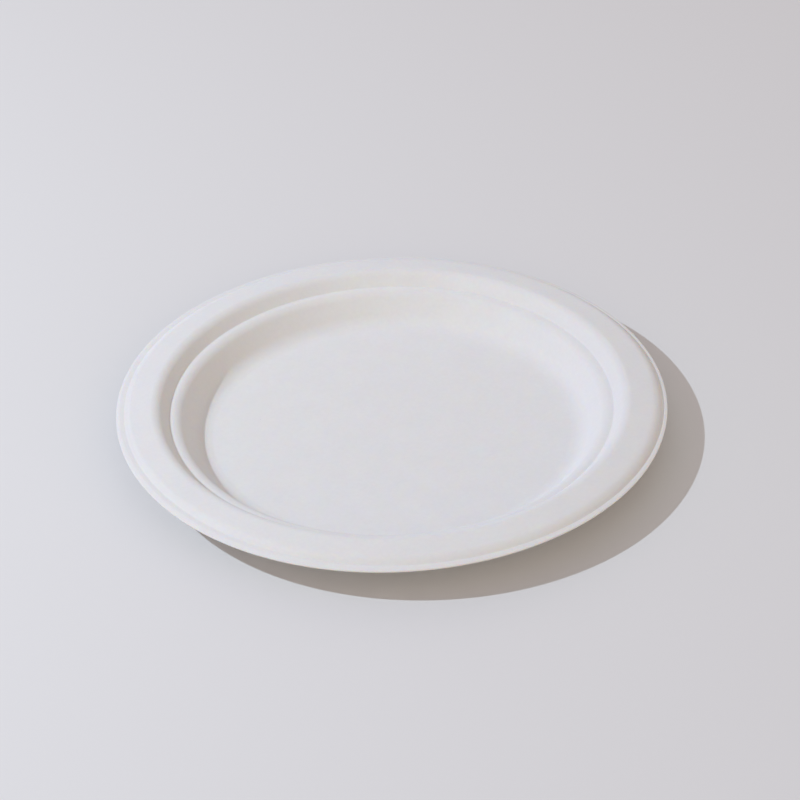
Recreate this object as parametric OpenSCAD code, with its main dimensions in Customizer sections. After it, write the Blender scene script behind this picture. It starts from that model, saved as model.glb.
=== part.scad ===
// Round plate of moulded fibre pulp: one pressed sheet with a flat floor, a sloping wall,
// a narrow ledge, a high rim with a soft flat top and a thin flange. A shallow heel softens the
// corner where the wall meets the floor.
// Millimetres. The plate stands on z = 0 and its axis is Z.

/* [Plate] */
// Diameter over the outer edge of the flange
plate_d = 225; // [190:1:260]
// Height from the table to the top of the rim
plate_h = 18.4; // [14:0.1:26]
// Thickness of the pressed sheet
sheet_t = 0.8; // [0.6:0.05:1.2]

/* [Flange] */
// Width of the flange, from the edge to the foot of the rim
flange_w = 2.7; // [1.2:0.1:4]
// Slope of the flange, falling outwards, in degrees
flange_tilt = 6; // [0:1:10]
// Inside radius of the bend between the flange and the rim
flange_bend_r = 0.6; // [0.2:0.1:1]
// Rounding of the trimmed edge
edge_r = 0.2; // [0.05:0.05:0.3]

/* [Rim] */
// Height of the rim's top above the flange's edge
rim_h = 4.1; // [3:0.1:6]
// Steepest slope of the rim's outer side, in degrees
rim_outer_slope = 41; // [30:1:46]
// Inside radius of the bend between the rim's top and its outer side
rim_outer_r = 7; // [2:0.1:10]
// Width of the rim's top, between the corners of its two sides
rim_top_w = 11.1; // [8:0.1:14]
// Slope of the rim's top, falling outwards, in degrees
rim_top_tilt = 6; // [0:1:8]
// Slope of the rim's inner side, in degrees
rim_inner_slope = 54; // [45:1:65]
// Inside radius of the bend between the rim's top and its inner side
rim_inner_r = 4.4; // [2:0.1:6]

/* [Ledge] */
// Height of the rim's top above the crease behind the ledge
ledge_drop = 6.1; // [5:0.1:8]
// Width of the ledge, from the crease behind it to the corner of its shoulder
ledge_w = 3.8; // [3.4:0.1:6]
// Slope of the ledge, falling inwards, in degrees
ledge_tilt = 1.5; // [0:0.5:6]
// Inside radius of the crease behind the ledge
crease_r = 0.8; // [0.1:0.1:1.5]
// Inside radius of the ledge's rounded shoulder
shoulder_r = 4.8; // [1:0.1:5.2]

/* [Well] */
// Slope of the wall between the ledge and the heel, in degrees
wall_slope = 53; // [42:1:58]
// Inside radius of the bend between the wall and the heel
wall_bend_r = 8.5; // [2:0.5:9.5]
// Width of the heel, the shallow ring that leads the floor up to the wall
heel_w = 5.2; // [4.8:0.1:8]
// Slope of the heel, in degrees
heel_slope = 7.5; // [3:0.5:12]
// Inside radius of the bend between the floor and the heel
heel_bend_r = 9; // [2:0.5:12]

/* [Hidden] */

// Largest turn between two points of a bend, in degrees
bend_step = 5;
// Steps round each half of the trimmed edge
edge_steps = 4;
// Facets round the plate in the preview
$fn = 180;

half_t = sheet_t / 2;
plate_r = plate_d / 2;

// Heights of the middle of the sheet
floor_mid = half_t;
heel_mid = floor_mid + heel_w * tan(heel_slope);
top_mid = plate_h - half_t;
edge_mid = top_mid - rim_h;
foot_mid = edge_mid + flange_w * tan(flange_tilt);
crease_mid = top_mid - ledge_drop;
shoulder_mid = crease_mid - ledge_w * tan(ledge_tilt);

// The bend inside the rim's top rounds its corner off, so the corner lies this much above the top
top_turn = rim_inner_slope + rim_top_tilt;
corner_rise = (rim_inner_r + half_t)
    * (cos(rim_inner_slope) + tan(top_turn / 2) * sin(rim_inner_slope) - 1);
inner_mid = top_mid + corner_rise;
outer_mid = inner_mid - rim_top_w * tan(rim_top_tilt);

// Radii of the corners of the middle line, worked out from the edge inwards
foot_r = plate_r - flange_w;
outer_corner_r = foot_r - (outer_mid - foot_mid) / tan(rim_outer_slope);
inner_corner_r = outer_corner_r - rim_top_w;
crease_corner_r = inner_corner_r - (inner_mid - crease_mid) / tan(rim_inner_slope);
shoulder_corner_r = crease_corner_r - ledge_w;
heel_corner_r = shoulder_corner_r - (shoulder_mid - heel_mid) / tan(wall_slope);
floor_corner_r = heel_corner_r - heel_w;

// Middle line of the sheet from the axis to the edge, as sharp corners: [radius, height, bend's inside radius]
corners = [
    [0, floor_mid, 0],
    [floor_corner_r, floor_mid, heel_bend_r],
    [heel_corner_r, heel_mid, wall_bend_r],
    [shoulder_corner_r, shoulder_mid, shoulder_r],
    [crease_corner_r, crease_mid, crease_r],
    [inner_corner_r, inner_mid, rim_inner_r],
    [outer_corner_r, outer_mid, rim_outer_r],
    [foot_r, foot_mid, flange_bend_r],
    [plate_r, edge_mid, 0]
];
last = len(corners) - 1;

// A corner's place in the section
function place(i) = [corners[i][0], corners[i][1]];

// Unit vectors along a heading and to the left of it
function along(heading) = [cos(heading), sin(heading)];
function leftward(heading) = [-sin(heading), cos(heading)];

// Heading of the straight stretch that ends at corner i
function heading(i) = atan2(corners[i][1] - corners[i - 1][1], corners[i][0] - corners[i - 1][0]);

// Points of one face of the sheet round corner i: side is the face's distance to the left of the middle line
function bend(i, side) =
    let (
        turn = heading(i + 1) - heading(i),
        way = sign(turn),
        radius = corners[i][2] + half_t,
        start = place(i) - radius * tan(abs(turn) / 2) * along(heading(i)),
        centre = start + way * radius * leftward(heading(i)),
        steps = ceil(abs(turn) / bend_step)
    )
    [for (k = [0 : steps]) centre + (side - way * radius) * leftward(heading(i) + turn * k / steps)];

// All bends of one face, from the axis outwards
function face(side) = [for (i = [1 : last - 1]) each bend(i, side)];

// Half of the rounded edge: side is 1 for the upper half and -1 for the lower half
function edge(side) =
    let (centre = place(last) - edge_r * along(heading(last)) + side * (half_t - edge_r) * leftward(heading(last)))
    [for (k = [0 : edge_steps]) centre + edge_r * along(heading(last) + side * 90 * k / edge_steps)];

function reversed(points) = [for (i = [len(points) - 1 : -1 : 0]) points[i]];

// Section of the sheet: out along the upper face, round the edge and back along the under face
module sheet_section() {
    polygon(concat(
        [[0, sheet_t]],
        face(half_t),
        reversed(edge(1)),
        edge(-1),
        reversed(face(-half_t)),
        [[0, 0]]
    ));
}

module plate() {
    color("whitesmoke")
    rotate_extrude()
    sheet_section();
}

plate();
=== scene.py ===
# %% [markdown]
# # A moulded fibre plate
# The object is one sheet of pressed plant pulp. A mould gives it a flat floor with a soft heel, a
# sloping wall, a narrow ledge, a high rim with a soft flat top, and a thin flange round the edge.
# The CAD model already holds that shape at its real size. This script loads it as a frame, makes
# the same sheet again with the slight warp and the felt-like finish of a real one, and lights it as
# the photograph does.

# %% Load the frame
import bisect
import math

import bpy
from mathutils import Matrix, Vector, noise


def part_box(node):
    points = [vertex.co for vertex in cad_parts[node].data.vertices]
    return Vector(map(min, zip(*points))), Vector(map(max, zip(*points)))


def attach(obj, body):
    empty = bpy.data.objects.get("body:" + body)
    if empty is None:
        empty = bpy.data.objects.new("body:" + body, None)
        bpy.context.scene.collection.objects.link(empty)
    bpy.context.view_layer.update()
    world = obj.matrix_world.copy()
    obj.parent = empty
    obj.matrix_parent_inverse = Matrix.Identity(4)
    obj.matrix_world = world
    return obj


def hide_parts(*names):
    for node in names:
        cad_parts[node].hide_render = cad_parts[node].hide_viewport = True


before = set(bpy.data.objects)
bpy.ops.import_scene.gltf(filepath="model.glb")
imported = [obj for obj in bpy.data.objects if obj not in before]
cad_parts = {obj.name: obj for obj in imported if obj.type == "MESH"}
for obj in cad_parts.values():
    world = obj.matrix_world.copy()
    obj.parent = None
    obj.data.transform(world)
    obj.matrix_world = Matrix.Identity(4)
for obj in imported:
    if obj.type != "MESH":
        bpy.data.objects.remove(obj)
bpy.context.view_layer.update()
plate_low, plate_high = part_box("plate")
print("CAD plate in mm:", [round(1000 * (h - l), 2) for l, h in zip(plate_low, plate_high)])

# %% [markdown]
# ## The sizes of the sheet
# Think of a cut from the middle of the plate to its edge. The sheet runs flat, lifts over the heel,
# climbs the wall, crosses the ledge, climbs the rim, comes down its outer side and ends in the flange.
# The plate's radius and height come from the frame, so the new sheet follows the CAD one's size.
# The other sizes are those of the mould, and heights are measured to the middle of the sheet.
# The crest is a slight crown in the flange, about half way between the rim's foot and the edge.
# A real sheet isn't perfectly even, so a little room is left for its unevenness, called relief here.
# The photograph shows the rim half a millimetre lower than the CAD, so the rim is set down by that.

# %% Sizes of the sheet
MM = 0.001
RELIEF = 0.03 * MM
TRIM_ROOM = 0.1 * MM
plate_r = (plate_high[0] - plate_low[0]) / 2 - TRIM_ROOM
RIM_DROP = 0.55 * MM
plate_h = plate_high[2] - RIM_DROP
sheet_t = 0.8 * MM
half_t = sheet_t / 2

flange_w = 2.7 * MM
flange_tilt = math.radians(6)
flange_bend_r = 0.6 * MM
crest_w = 1.6 * MM
crest_rise = 0.05 * MM
crest_r = 1.2 * MM
rim_h = 3.5 * MM
rim_outer_slope = math.radians(47)
rim_outer_r = 5.4 * MM
rim_top_w = 12.1 * MM
rim_top_tilt = math.radians(6)
rim_inner_slope = math.radians(51)
rim_inner_r = 4.4 * MM
ledge_drop = 5.45 * MM
ledge_w = 3.8 * MM
ledge_tilt = math.radians(1.5)
crease_r = 0.8 * MM
shoulder_r = 4.8 * MM
wall_slope = math.radians(53)
wall_bend_r = 8.5 * MM
heel_w = 5.2 * MM
heel_slope = math.radians(7.5)
heel_bend_r = 9.0 * MM

# %% [markdown]
# ## The corners of the section
# Straight stretches meet at corners, and each corner is rounded by its own bend radius.
# The places are worked out from the edge inwards, one stretch at a time, as a mould maker would.

# %% Corners from the edge inwards
floor_mid = half_t + RELIEF
heel_mid = floor_mid + heel_w * math.tan(heel_slope)
top_mid = plate_h - half_t
edge_mid = top_mid - rim_h
foot_mid = edge_mid + flange_w * math.tan(flange_tilt)
crease_mid = top_mid - ledge_drop
shoulder_mid = crease_mid - ledge_w * math.tan(ledge_tilt)
top_turn = rim_inner_slope + rim_top_tilt
corner_rise = (rim_inner_r + half_t) * (
    math.cos(rim_inner_slope) + math.tan(top_turn / 2) * math.sin(rim_inner_slope) - 1
)
inner_mid = top_mid + corner_rise
outer_mid = inner_mid - rim_top_w * math.tan(rim_top_tilt)

crest_mid = edge_mid + crest_w * math.tan(flange_tilt) + crest_rise
foot_r = plate_r - flange_w
outer_corner_r = foot_r - (outer_mid - foot_mid) / math.tan(rim_outer_slope)
inner_corner_r = outer_corner_r - rim_top_w
crease_corner_r = inner_corner_r - (inner_mid - crease_mid) / math.tan(rim_inner_slope)
shoulder_corner_r = crease_corner_r - ledge_w
heel_corner_r = shoulder_corner_r - (shoulder_mid - heel_mid) / math.tan(wall_slope)
floor_corner_r = heel_corner_r - heel_w

corners = [
    (Vector((0, floor_mid)), 0),
    (Vector((floor_corner_r, floor_mid)), heel_bend_r),
    (Vector((heel_corner_r, heel_mid)), wall_bend_r),
    (Vector((shoulder_corner_r, shoulder_mid)), shoulder_r),
    (Vector((crease_corner_r, crease_mid)), crease_r),
    (Vector((inner_corner_r, inner_mid)), rim_inner_r),
    (Vector((outer_corner_r, outer_mid)), rim_outer_r),
    (Vector((foot_r, foot_mid)), flange_bend_r),
    (Vector((plate_r - crest_w, crest_mid)), crest_r),
    (Vector((plate_r, edge_mid)), 0),
]
OUTER, FOOT, CREST, EDGE = 6, 7, 8, 9
print("corners in mm:", [(round(p.x / MM, 1), round(p.y / MM, 1)) for p, _ in corners])

# %% [markdown]
# ## Stations along the sheet
# The section becomes a chain of points: a few along each straight stretch, and one for every few
# degrees of each bend. The counts are settled once, on the mould's own section, so that any other
# section of the same sheet, such as a warped one, has its points in the same order.

# %% Counts of points
BEND_STEP = math.radians(4)
STRETCH_STEP = 2.5 * MM
FEWEST_STEPS = 3


def heading(line, i):
    """Direction of the stretch that ends at corner i."""
    step = line[i][0] - line[i - 1][0]
    return math.atan2(step.y, step.x)


bend_steps = [0] * len(corners)
stretch_pieces = [1] * len(corners)
for i in range(1, len(corners)):
    stretch_pieces[i] = math.ceil((corners[i][0] - corners[i - 1][0]).length / STRETCH_STEP)
    if i < EDGE:
        turn = abs(heading(corners, i + 1) - heading(corners, i))
        bend_steps[i] = max(FEWEST_STEPS, math.ceil(turn / BEND_STEP))
print("steps of the bends:", bend_steps[1:-1], "pieces of the stretches:", stretch_pieces[1:])


# %% Points of the middle line
def along(angle):
    return Vector((math.cos(angle), math.sin(angle)))


def bend_points(line, i):
    """Points of the rounded corner i, from its start to its end."""
    place, inside_r = line[i]
    before = heading(line, i)
    turn = heading(line, i + 1) - before
    way = math.copysign(1, turn)
    radius = inside_r + half_t
    start = place - radius * math.tan(abs(turn) / 2) * along(before)
    centre = start + way * radius * along(before + math.pi / 2)
    return [
        centre - way * radius * along(before + turn * k / bend_steps[i] + math.pi / 2)
        for k in range(bend_steps[i] + 1)
    ]


def middle_line(line):
    """The whole chain of a section, from the axis to the edge."""
    chain = [line[0][0]]
    for i in range(1, len(line)):
        bend = bend_points(line, i) if i < EDGE else [line[i][0]]
        start = chain[-1]
        chain += [start.lerp(bend[0], k / stretch_pieces[i]) for k in range(1, stretch_pieces[i])]
        chain += bend
    return chain


section = middle_line(corners)
print("points from the axis to the edge:", len(section))

# %% [markdown]
# ## Spin the sheet
# A single point is extruded along the section, as one would draw it by hand in the front view.
# Spin then carries the line once round the axis. Spin leaves a doubled seam and a pinched pole,
# so the doubles are merged before the faces are turned to point upwards.

# %% Draw and spin the section
ROUND_STEPS = 360
MERGE = 0.002 * MM


def draw_section(name, chain):
    """A chain of edges in the XZ plane, drawn from one merged point."""
    bpy.ops.object.select_all(action="DESELECT")
    first = (chain[0].x, 0, chain[0].y)
    bpy.ops.mesh.primitive_plane_add(size=sheet_t, location=first)
    line = bpy.context.object
    line.name = name
    bpy.ops.object.transform_apply(location=True, rotation=True, scale=True)
    bpy.ops.object.mode_set(mode="EDIT")
    bpy.ops.mesh.select_mode(type="VERT")
    bpy.ops.mesh.select_all(action="SELECT")
    bpy.ops.mesh.merge(type="CENTER")
    for a, b in zip(chain, chain[1:]):
        bpy.ops.mesh.extrude_vertices_move(TRANSFORM_OT_translate={"value": (b.x - a.x, 0, b.y - a.y)})
    return line


def spin_round(steps):
    """Carries the drawn line once round the Z axis and closes the seam and the pole."""
    bpy.ops.mesh.select_all(action="SELECT")
    bpy.ops.mesh.spin(steps=steps, angle=2 * math.pi, center=(0, 0, 0), axis=(0, 0, 1))
    bpy.ops.mesh.select_all(action="SELECT")
    bpy.ops.mesh.remove_doubles(threshold=MERGE)
    bpy.ops.mesh.normals_make_consistent(inside=False)
    bpy.ops.object.mode_set(mode="OBJECT")


pulp = draw_section("pressed_sheet", section)
spin_round(ROUND_STEPS)
if pulp.data.polygons[0].normal.z < 0:
    pulp.data.flip_normals()
print("faces of the spun sheet:", len(pulp.data.polygons))

# %% [markdown]
# ## The slight warp of a real plate
# A mould is round, but the sheet that leaves it is not quite. The rim sits a little off centre, so
# the flange is wider on one side, and as the damp sheet dries its edge lifts here and sags there.
# A warp like that could be sculpted with a soft brush. Here the corners of the section are moved by
# a few smooth hills round the rim, and each point follows its own place in the chain, so every bend
# stays a clean bend. Azimuth 0 is the right of the plate. The two bends at the ends of a stretch have to
# fit on it: with these hills the tightest stretch has about 0.2 mm to spare, and a larger hill or bend
# radius there would fold the sheet over itself.

# %% Hills round the rim
FOOT_SHIFT = 0.9 * MM
FOOT_SHIFT_AZIMUTH = math.radians(5)
OUTER_SHIFT = 0.9 * MM
OUTER_SHIFT_AZIMUTH = math.radians(10)
# Each hill: its height, the azimuth of its top and its half width. EDGE, CREST and FOOT hills lift
# their corners, TRIM hills and those named SHIFT move them outwards, and BEND hills add to a bend radius.
EDGE_HILLS = [
    (1.6 * MM, math.radians(177), math.radians(45)),
    (0.3 * MM, math.radians(300), math.radians(30)),
    (-0.2 * MM, math.radians(245), math.radians(25)),
    (-0.4 * MM, math.radians(10), math.radians(45)),
]
TRIM_HILLS = [(-0.5 * MM, math.radians(178), math.radians(28))]
CREST_HILLS = [(0.5 * MM, math.radians(232), math.radians(38))]
CREST_SHIFT_HILLS = [
    (-0.5 * MM, math.radians(225), math.radians(45)),
    (0.5 * MM, math.radians(5), math.radians(60)),
]
FOOT_SHIFT_HILLS = [(-0.6 * MM, math.radians(238), math.radians(32))]
FOOT_HILLS = [(0.3 * MM, math.radians(238), math.radians(45))]
FOOT_BEND_HILLS = [(0.6 * MM, math.radians(215), math.radians(50))]
OUTER_SHIFT_HILLS = [(-0.9 * MM, math.radians(218), math.radians(42))]
RELIEF_GRAIN = 14 * MM


def hills_at(azimuth, hills):
    """Height of a row of smooth hills at one azimuth."""
    total = 0
    for height, top, half_width in hills:
        off = math.remainder(azimuth - top, 2 * math.pi) / half_width
        total += height * math.exp(-off * off)
    return total


def warped_section(azimuth):
    """The chain of the section at one azimuth, with its outer corners and bends changed."""
    edge_lift = hills_at(azimuth, EDGE_HILLS)
    outer_shift = OUTER_SHIFT * math.cos(azimuth - OUTER_SHIFT_AZIMUTH)
    outer_shift += hills_at(azimuth, OUTER_SHIFT_HILLS)
    foot_shift = FOOT_SHIFT * math.cos(azimuth - FOOT_SHIFT_AZIMUTH)
    foot_shift += hills_at(azimuth, FOOT_SHIFT_HILLS)
    crest_shift = hills_at(azimuth, CREST_SHIFT_HILLS)
    moves = {
        OUTER: (outer_shift, -outer_shift * math.tan(rim_top_tilt)),
        FOOT: (foot_shift, edge_lift + hills_at(azimuth, FOOT_HILLS)),
        CREST: (crest_shift, edge_lift + hills_at(azimuth, CREST_HILLS)),
        EDGE: (hills_at(azimuth, TRIM_HILLS), edge_lift),
    }
    softer = {FOOT: hills_at(azimuth, FOOT_BEND_HILLS)}
    line = []
    for i, (place, inside_r) in enumerate(corners):
        line.append((place + Vector(moves.get(i, (0, 0))), inside_r + softer.get(i, 0)))
    return middle_line(line)


# %% Warp the sheet
def warp_sheet(piece):
    """Moves each point to its place in the warped section and adds the fine relief."""
    radii = [point.x for point in section]
    sections = {}
    for vertex in piece.data.vertices:
        place = vertex.co
        azimuth = math.atan2(place.y, place.x)
        turn = round(azimuth / (2 * math.pi) * ROUND_STEPS) % ROUND_STEPS
        if turn not in sections:
            sections[turn] = warped_section(azimuth)
        station = bisect.bisect_left(radii, math.hypot(place.x, place.y) - MERGE)
        point = sections[turn][station]
        relief = RELIEF * noise.noise(place / RELIEF_GRAIN)
        vertex.co = (point.x * math.cos(azimuth), point.x * math.sin(azimuth), point.y + relief)


warp_sheet(pulp)
heights = [v.co.z for v in pulp.data.vertices if math.hypot(v.co.x, v.co.y) > plate_r - MERGE]
print("edge height in mm:", round(min(heights) / MM, 2), "to", round(max(heights) / MM, 2))

# %% [markdown]
# ## Give the sheet its thickness
# Solidify makes the two faces at half the thickness on either side, and Bevel rounds the trimmed
# edge. Both are applied, so the mesh is final.

# %% Thickness and trimmed edge
EDGE_R = 0.2 * MM
EDGE_SEGMENTS = 3
SHARP_ANGLE = math.radians(60)


def apply_modifier(piece, kind, **settings):
    modifier = piece.modifiers.new(kind.title(), kind)
    for key, value in settings.items():
        setattr(modifier, key, value)
    bpy.context.view_layer.objects.active = piece
    bpy.ops.object.modifier_apply(modifier=modifier.name)


apply_modifier(
    pulp, "SOLIDIFY", thickness=sheet_t, offset=0, use_even_offset=True, use_quality_normals=True
)
apply_modifier(
    pulp, "BEVEL", width=EDGE_R, segments=EDGE_SEGMENTS, limit_method="ANGLE", angle_limit=SHARP_ANGLE
)
bpy.ops.object.shade_smooth()
print("triangles of the sheet:", sum(len(face.vertices) - 2 for face in pulp.data.polygons))

# %% [markdown]
# ## The finish of pressed pulp
# Pulp is matt and slightly warm, and its short fibres are felted together. Close up it shows a soft
# mottle, a very fine tooth and now and then a darker fibre that the bleach has missed. The wire
# screen of the mould leaves a faint weave on the underside. The sheet is thin enough for a little
# light to pass, which subsurface scattering gives. All patterns are noise on Object coordinates,
# so they stay fixed to the plate.

# %% Helpers for patterns
PULP_COLOUR = (0.82, 0.805, 0.785)
LIGHT_REACH = (0.26 * MM, 0.2 * MM, 0.14 * MM)


class Patterns:
    """Builds a material's nodes with short calls."""

    def __init__(self, material):
        self.tree = material.node_tree
        self.place = self.tree.nodes.new("ShaderNodeTexCoord").outputs["Object"]

    def node(self, kind, inputs=None, **settings):
        made = self.tree.nodes.new("ShaderNode" + kind)
        for key, value in settings.items():
            setattr(made, key, value)
        for key, value in (inputs or {}).items():
            self.put(made.inputs[key], value)
        return made

    def put(self, socket, value):
        if isinstance(value, bpy.types.NodeSocket):
            self.tree.links.new(value, socket)
        else:
            socket.default_value = value

    def math(self, operation, *values):
        made = self.node("Math", operation=operation)
        for socket, value in zip(made.inputs, values):
            self.put(socket, value)
        return made.outputs[0]

    def noise(self, grain, detail=2.0):
        """Noise from about 0 to 1, whose lumps are one grain wide."""
        inputs = {"Vector": self.place, "Scale": 1 / grain, "Detail": detail}
        return self.node("TexNoise", inputs).outputs["Fac"]

    def scaled(self, *factors):
        """The place with each axis stretched."""
        return self.node("Mapping", {"Vector": self.place, "Scale": factors}).outputs["Vector"]


# %% Colour of the pulp
MOTTLE_GRAIN = 1.6 * MM
CLOUD_GRAIN = 14 * MM
FIBRE_SPACING = 9 * MM
FIBRE_WIDTH = 0.09 * MM
MOTTLE_SHARE = 0.05
CLOUD_SHARE = 0.04
FIBRE_SHARE = 0.25
# Fibres run along Y and go straight through the sheet. Dots whose random value is above the limit show.
FIBRE_DRAW = (1, 0.25, 0)
FIBRE_LIMIT = 0.55


def stray_fibres(p):
    """1 on a few short dark fibres, 0 elsewhere: thin Voronoi dots drawn out along one axis."""
    drawn_out = p.scaled(*FIBRE_DRAW)
    dots = p.node("TexVoronoi", {"Vector": drawn_out, "Scale": 1 / FIBRE_SPACING})
    near = p.math("LESS_THAN", dots.outputs["Distance"], FIBRE_WIDTH / FIBRE_SPACING)
    chosen = p.node("SeparateColor", {"Color": dots.outputs["Color"]})
    return p.math("MULTIPLY", near, p.math("GREATER_THAN", chosen.outputs["Red"], FIBRE_LIMIT))


def pulp_colour(p):
    """The pulp's colour, a little lighter or darker from lump to lump."""
    mottle = p.math("MULTIPLY_ADD", p.noise(MOTTLE_GRAIN), MOTTLE_SHARE, 1 - MOTTLE_SHARE / 2)
    cloud = p.math("MULTIPLY_ADD", p.noise(CLOUD_GRAIN), CLOUD_SHARE, 1 - CLOUD_SHARE / 2)
    fibre = p.math("MULTIPLY_ADD", stray_fibres(p), -FIBRE_SHARE, 1)
    value = p.math("MULTIPLY", p.math("MULTIPLY", mottle, cloud), fibre)
    return p.node("VectorMath", {0: PULP_COLOUR, "Scale": value}, operation="SCALE").outputs["Vector"]


# %% Tooth of the pulp
TOOTH_GRAIN = 0.55 * MM
TOOTH_DEPTH = 0.014 * MM
TOOTH_DETAIL = 3.0
SCREEN_PITCH = 0.9 * MM
SCREEN_DEPTH = 0.012 * MM
# A wave texture of scale 1 repeats after this length
WAVE_LENGTH = 0.31416


def screen_weave(p):
    """The weave of the forming screen, which shows on the underside alone."""
    waves = []
    for axis in ("X", "Y"):
        inputs = {"Vector": p.place, "Scale": WAVE_LENGTH / SCREEN_PITCH}
        waves.append(p.node("TexWave", inputs, bands_direction=axis).outputs["Fac"])
    normal = p.node("NewGeometry").outputs["Normal"]
    facing = p.node("SeparateXYZ", {"Vector": normal}).outputs["Z"]
    below = p.math("LESS_THAN", facing, 0.0)
    return p.math("MULTIPLY", p.math("ADD", waves[0], waves[1]), below)


def pulp_tooth(p):
    """A bump normal: the fine tooth of the fibres over the weave of the screen."""
    weave = p.node("Bump", {"Height": screen_weave(p), "Strength": 1.0, "Distance": SCREEN_DEPTH})
    inputs = {
        "Height": p.noise(TOOTH_GRAIN, detail=TOOTH_DETAIL),
        "Strength": 1.0,
        "Distance": TOOTH_DEPTH,
        "Normal": weave.outputs["Normal"],
    }
    return p.node("Bump", inputs).outputs["Normal"]


# %% Pulp material
PULP_ROUGHNESS = 0.9
PULP_SPECULAR = 0.15
PULP_SUBSURFACE = 1.0


def pulp_material():
    material = bpy.data.materials.new("white_pulp")
    material.use_nodes = True
    patterns = Patterns(material)
    shader = material.node_tree.nodes["Principled BSDF"]
    patterns.put(shader.inputs["Base Color"], pulp_colour(patterns))
    patterns.put(shader.inputs["Normal"], pulp_tooth(patterns))
    shader.inputs["Roughness"].default_value = PULP_ROUGHNESS
    shader.inputs["Specular IOR Level"].default_value = PULP_SPECULAR
    shader.inputs["Subsurface Weight"].default_value = PULP_SUBSURFACE
    shader.inputs["Subsurface Radius"].default_value = [reach / LIGHT_REACH[0] for reach in LIGHT_REACH]
    shader.inputs["Subsurface Scale"].default_value = LIGHT_REACH[0]
    return material


pulp.data.materials.append(pulp_material())
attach(pulp, "root")
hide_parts("plate")
print("nodes in the pulp material:", len(pulp.data.materials[0].node_tree.nodes))

# %% [markdown]
# ## Table, light and camera
# The plate stands on a plain pale table. One small lamp to the left throws the crisp shadow, and a
# soft sky of a few broad glows fills it in, as white walls and reflectors do in a studio.

# %% Table
FLOOR_COLOUR = (0.815, 0.798, 0.78)
FLOOR_GAP = 0.05 * MM
TABLE_SIZE = 12
bpy.ops.mesh.primitive_plane_add(size=TABLE_SIZE, location=(0, 0, -FLOOR_GAP))
table = bpy.context.object
table.name = "table"
table_material = bpy.data.materials.new("pale_table")
table_material.use_nodes = True
table_shader = table_material.node_tree.nodes["Principled BSDF"]
table_shader.inputs["Base Color"].default_value = (*FLOOR_COLOUR, 1)
table_shader.inputs["Roughness"].default_value = 1
table_shader.inputs["Specular IOR Level"].default_value = 0
table.data.materials.append(table_material)

# %% Key lamp
KEY_AZIMUTH = math.radians(185.6)
KEY_ALTITUDE = math.radians(44.4)
KEY_DISTANCE = 1.55
KEY_RADIUS = 0.012
KEY_COLOUR = (0.42, 0.5, 0.59)


def direction(azimuth, altitude):
    """Unit vector towards a place in the sky."""
    level = math.cos(altitude)
    return Vector((level * math.cos(azimuth), level * math.sin(azimuth), math.sin(altitude)))


bpy.ops.object.light_add(type="POINT", location=KEY_DISTANCE * direction(KEY_AZIMUTH, KEY_ALTITUDE))
key = bpy.context.object
key.name = "key_lamp"
key.data.color = KEY_COLOUR
key.data.shadow_soft_size = KEY_RADIUS
# A point lamp of this many watts gives a surface at this distance a light of pi per colour unit
key.data.energy = 4 * math.pi ** 2 * KEY_DISTANCE ** 2

# %% Soft sky
# Each glow: its azimuth and altitude, how narrow it is, and its colour
GLOWS = [
    (0, 90, 4, (0.13, 0.17, 0.26)),
    (315, 25, 3, (0.78, 0.62, 0.63)),
    (270, 25, 3, (0.6, 0.63, 0.45)),
    (180, 25, 3, (0.35, 0.17, 0.23)),
    (90, 25, 3, (0.67, 0.67, 0.67)),
    (45, 25, 3, (0.1, 0.08, 0.02)),
]


def sky_node(tree, kind, operation, *values):
    made = tree.nodes.new(kind)
    made.operation = operation
    for socket, value in zip(made.inputs, values):
        if isinstance(value, bpy.types.NodeSocket):
            tree.links.new(value, socket)
        else:
            socket.default_value = value
    return made


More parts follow.
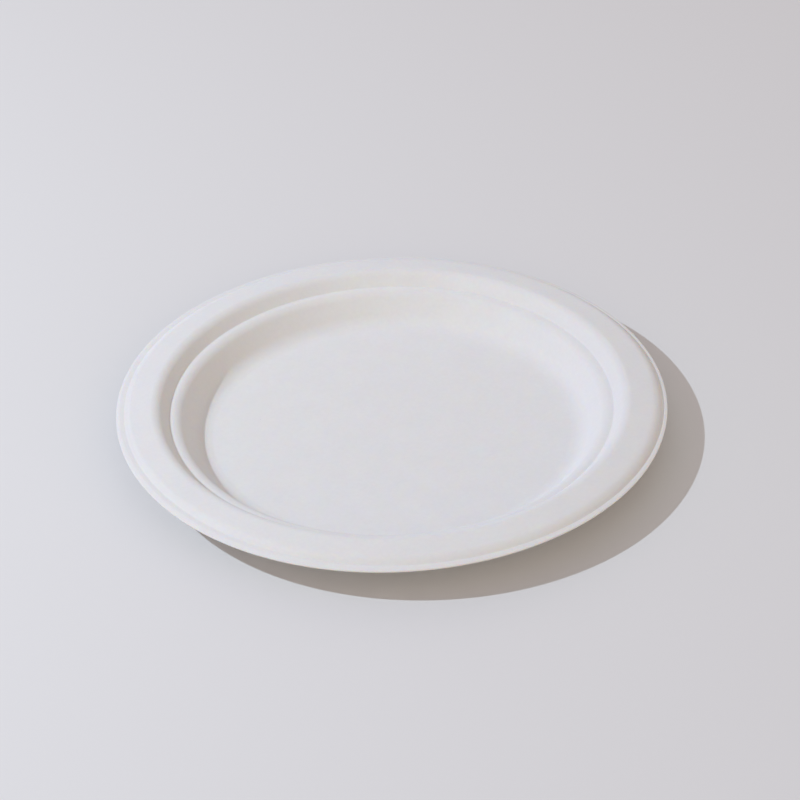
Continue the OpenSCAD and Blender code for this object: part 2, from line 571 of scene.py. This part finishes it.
def soft_sky(glows):
    """A world whose light is a sum of broad glows, each brightest in its own direction."""
    world = bpy.data.worlds.new("soft_sky")
    world.use_nodes = True
    tree = world.node_tree
    view = tree.nodes.new("ShaderNodeTexCoord").outputs["Generated"]
    total = (0, 0, 0)
    for azimuth, altitude, narrow, colour in glows:
        towards = direction(math.radians(azimuth), math.radians(altitude))
        facing = sky_node(tree, "ShaderNodeVectorMath", "DOT_PRODUCT", view, towards).outputs["Value"]
        front = sky_node(tree, "ShaderNodeMath", "MAXIMUM", facing, 0.0).outputs[0]
        glow = sky_node(tree, "ShaderNodeMath", "POWER", front, float(narrow)).outputs[0]
        tint = sky_node(tree, "ShaderNodeVectorMath", "MULTIPLY", colour, glow).outputs["Vector"]
        total = sky_node(tree, "ShaderNodeVectorMath", "ADD", total, tint).outputs["Vector"]
    tree.links.new(total, tree.nodes["Background"].inputs["Color"])
    tree.nodes["Background"].inputs["Strength"].default_value = 1
    return world


bpy.context.scene.world = soft_sky(GLOWS)
print("glows in the sky:", len(GLOWS))

# %% [markdown]
# ## The camera
# The photograph looks down at the plate at about 35 degrees through a long lens, with the camera
# turned by a degree or two about its own line of sight.

# %% Camera
CAMERA_DISTANCE = 1.03018
CAMERA_ELEVATION = math.radians(35.145)
CAMERA_ROLL = math.radians(-1.724)
CAMERA_AZIMUTH = math.radians(-90)
AIM = Vector((3.735 * MM, 20.746 * MM, 0))
LENS_MM = 112.5
SENSOR_MM = 36
CLIP_START = 0.01

bpy.ops.object.camera_add(location=CAMERA_DISTANCE * direction(CAMERA_AZIMUTH, CAMERA_ELEVATION))
camera = bpy.context.object
camera.rotation_euler = (AIM - camera.location).to_track_quat("-Z", "Y").to_euler()
camera.rotation_euler.rotate_axis("Z", CAMERA_ROLL)
camera.data.sensor_width = SENSOR_MM
camera.data.lens = LENS_MM
camera.data.clip_start = CLIP_START
bpy.context.scene.camera = camera

# %% [markdown]
# ## Finish
# The view transform is Standard, so colours render about as they are written.

# %% Scene
bpy.context.scene.view_settings.view_transform = "Standard"
